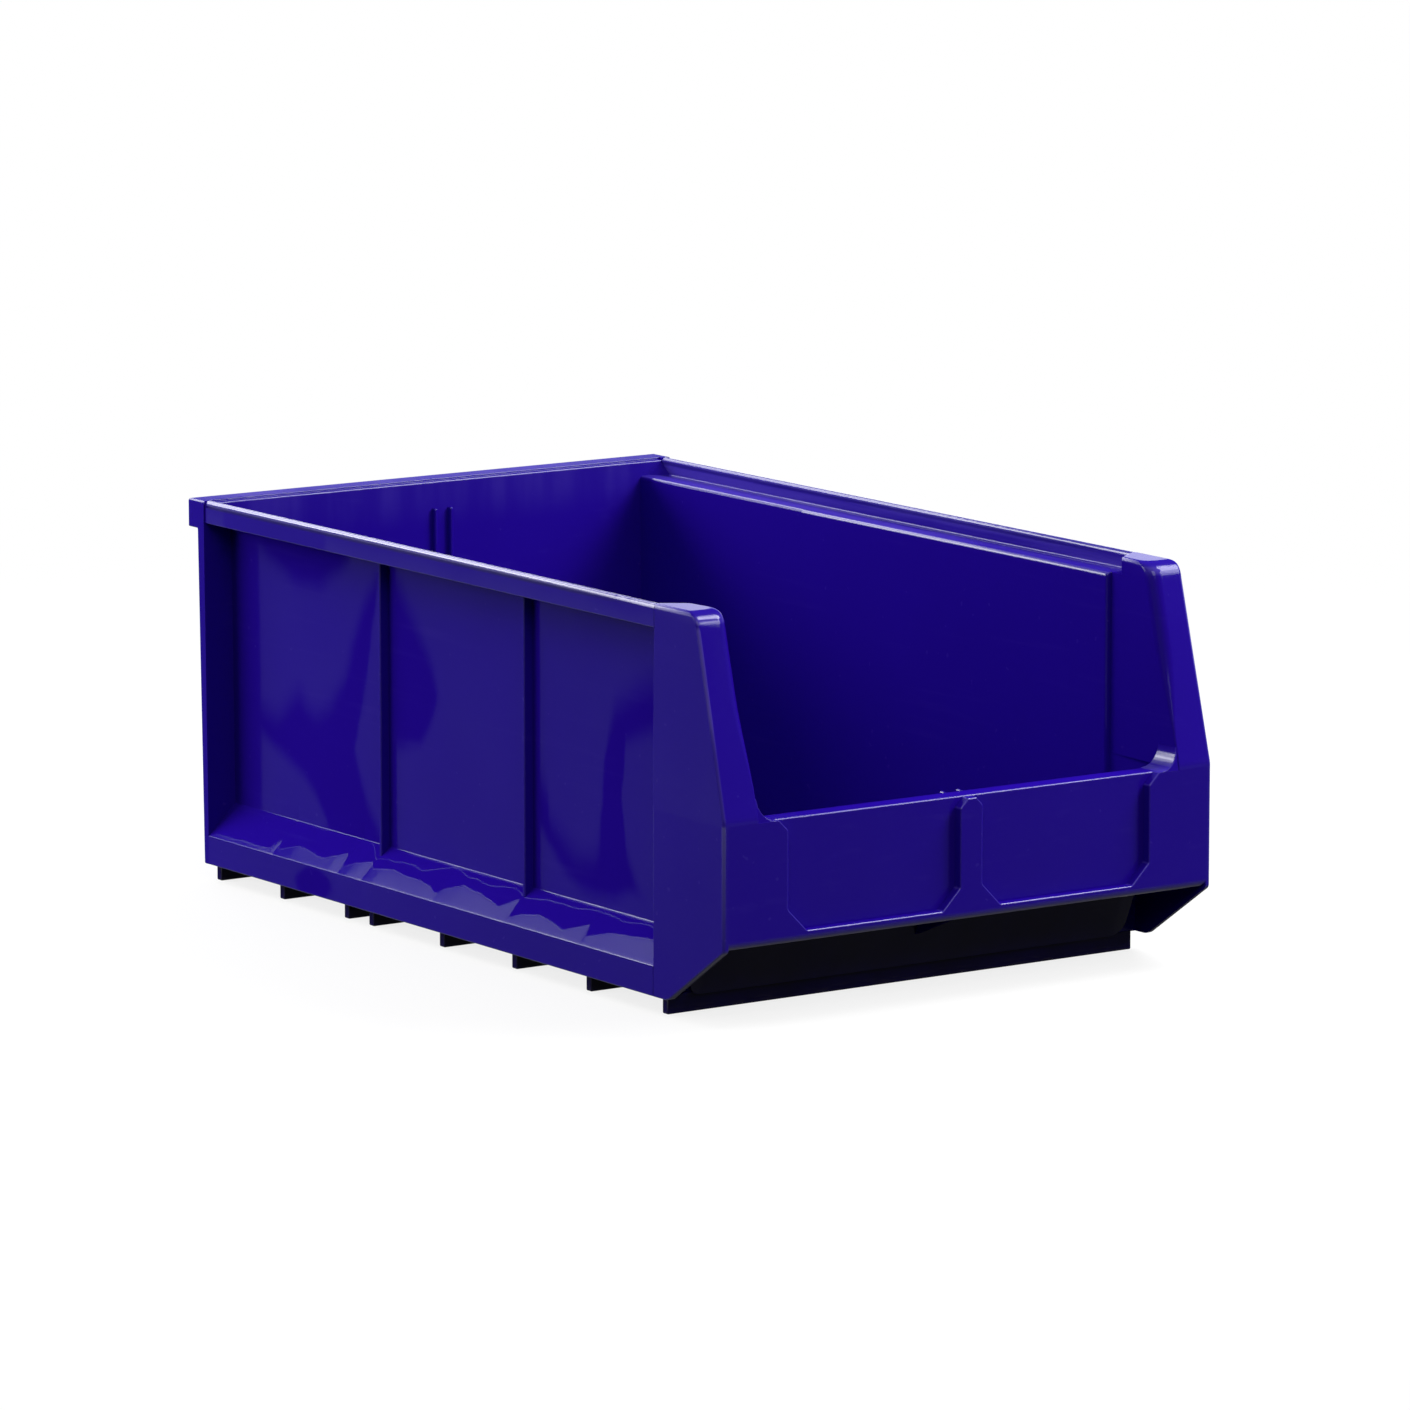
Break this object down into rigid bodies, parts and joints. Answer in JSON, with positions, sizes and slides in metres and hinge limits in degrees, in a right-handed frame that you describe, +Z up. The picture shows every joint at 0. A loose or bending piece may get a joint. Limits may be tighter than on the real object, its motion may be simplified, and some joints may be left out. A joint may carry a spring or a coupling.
{
  "type": "stackable storage bin",
  "caption": "Open-fronted stackable storage bin with a sloping hopper front, label recesses, a stacking rim and ledge, cross runners under the floor and a turned-down rear lip.",
  "frame": {"origin": "centre of the footprint, on the surface that the runners stand on", "axes": "+Z up, -Y out of the open front, +Y out of the rear lip, X across the bin"},
  "size_m": [0.3, 0.5, 0.205],
  "materials": {
    "bin_plastic": "glossy injection-moulded polypropylene, royal blue right through"
  },
  "bodies": {
    "root": {"floor_pan": "bin_plastic", "rear_wall": "bin_plastic", "rear_lip_top": "bin_plastic", "rear_lip_face": "bin_plastic", "rear_lip_left_end": "bin_plastic", "rear_lip_right_end": "bin_plastic", "left_side_wall": "bin_plastic", "right_side_wall": "bin_plastic", "left_stacking_ledge": "bin_plastic", "right_stacking_ledge": "bin_plastic", "left_rim": "bin_plastic", "right_rim": "bin_plastic", "left_rim_gusset": "bin_plastic", "right_rim_gusset": "bin_plastic", "left_shoulder": "bin_plastic", "right_shoulder": "bin_plastic", "left_skirt": "bin_plastic", "right_skirt": "bin_plastic", "left_front_rib": "bin_plastic", "right_front_rib": "bin_plastic", "left_rear_rib": "bin_plastic", "right_rear_rib": "bin_plastic", "left_post_plate": "bin_plastic", "right_post_plate": "bin_plastic", "left_post_front": "bin_plastic", "right_post_front": "bin_plastic", "left_post_cap": "bin_plastic", "right_post_cap": "bin_plastic", "left_post_web": "bin_plastic", "right_post_web": "bin_plastic", "left_bay_wall": "bin_plastic", "right_bay_wall": "bin_plastic", "left_sill_fillet": "bin_plastic", "right_sill_fillet": "bin_plastic", "left_frame_end": "bin_plastic", "right_frame_end": "bin_plastic", "hopper_wall": "bin_plastic", "front_sill": "bin_plastic", "label_panel": "bin_plastic", "front_rail": "bin_plastic", "centre_post": "bin_plastic", "front_web": "bin_plastic", "front_guide_left": "bin_plastic", "front_guide_right": "bin_plastic", "rear_guide_left": "bin_plastic", "rear_guide_right": "bin_plastic", "runner_1": "bin_plastic", "runner_2": "bin_plastic", "runner_3": "bin_plastic", "runner_4": "bin_plastic", "runner_5": "bin_plastic", "runner_6": "bin_plastic", "runner_7": "bin_plastic", "runner_8": "bin_plastic"}
  },
  "joints": []
}
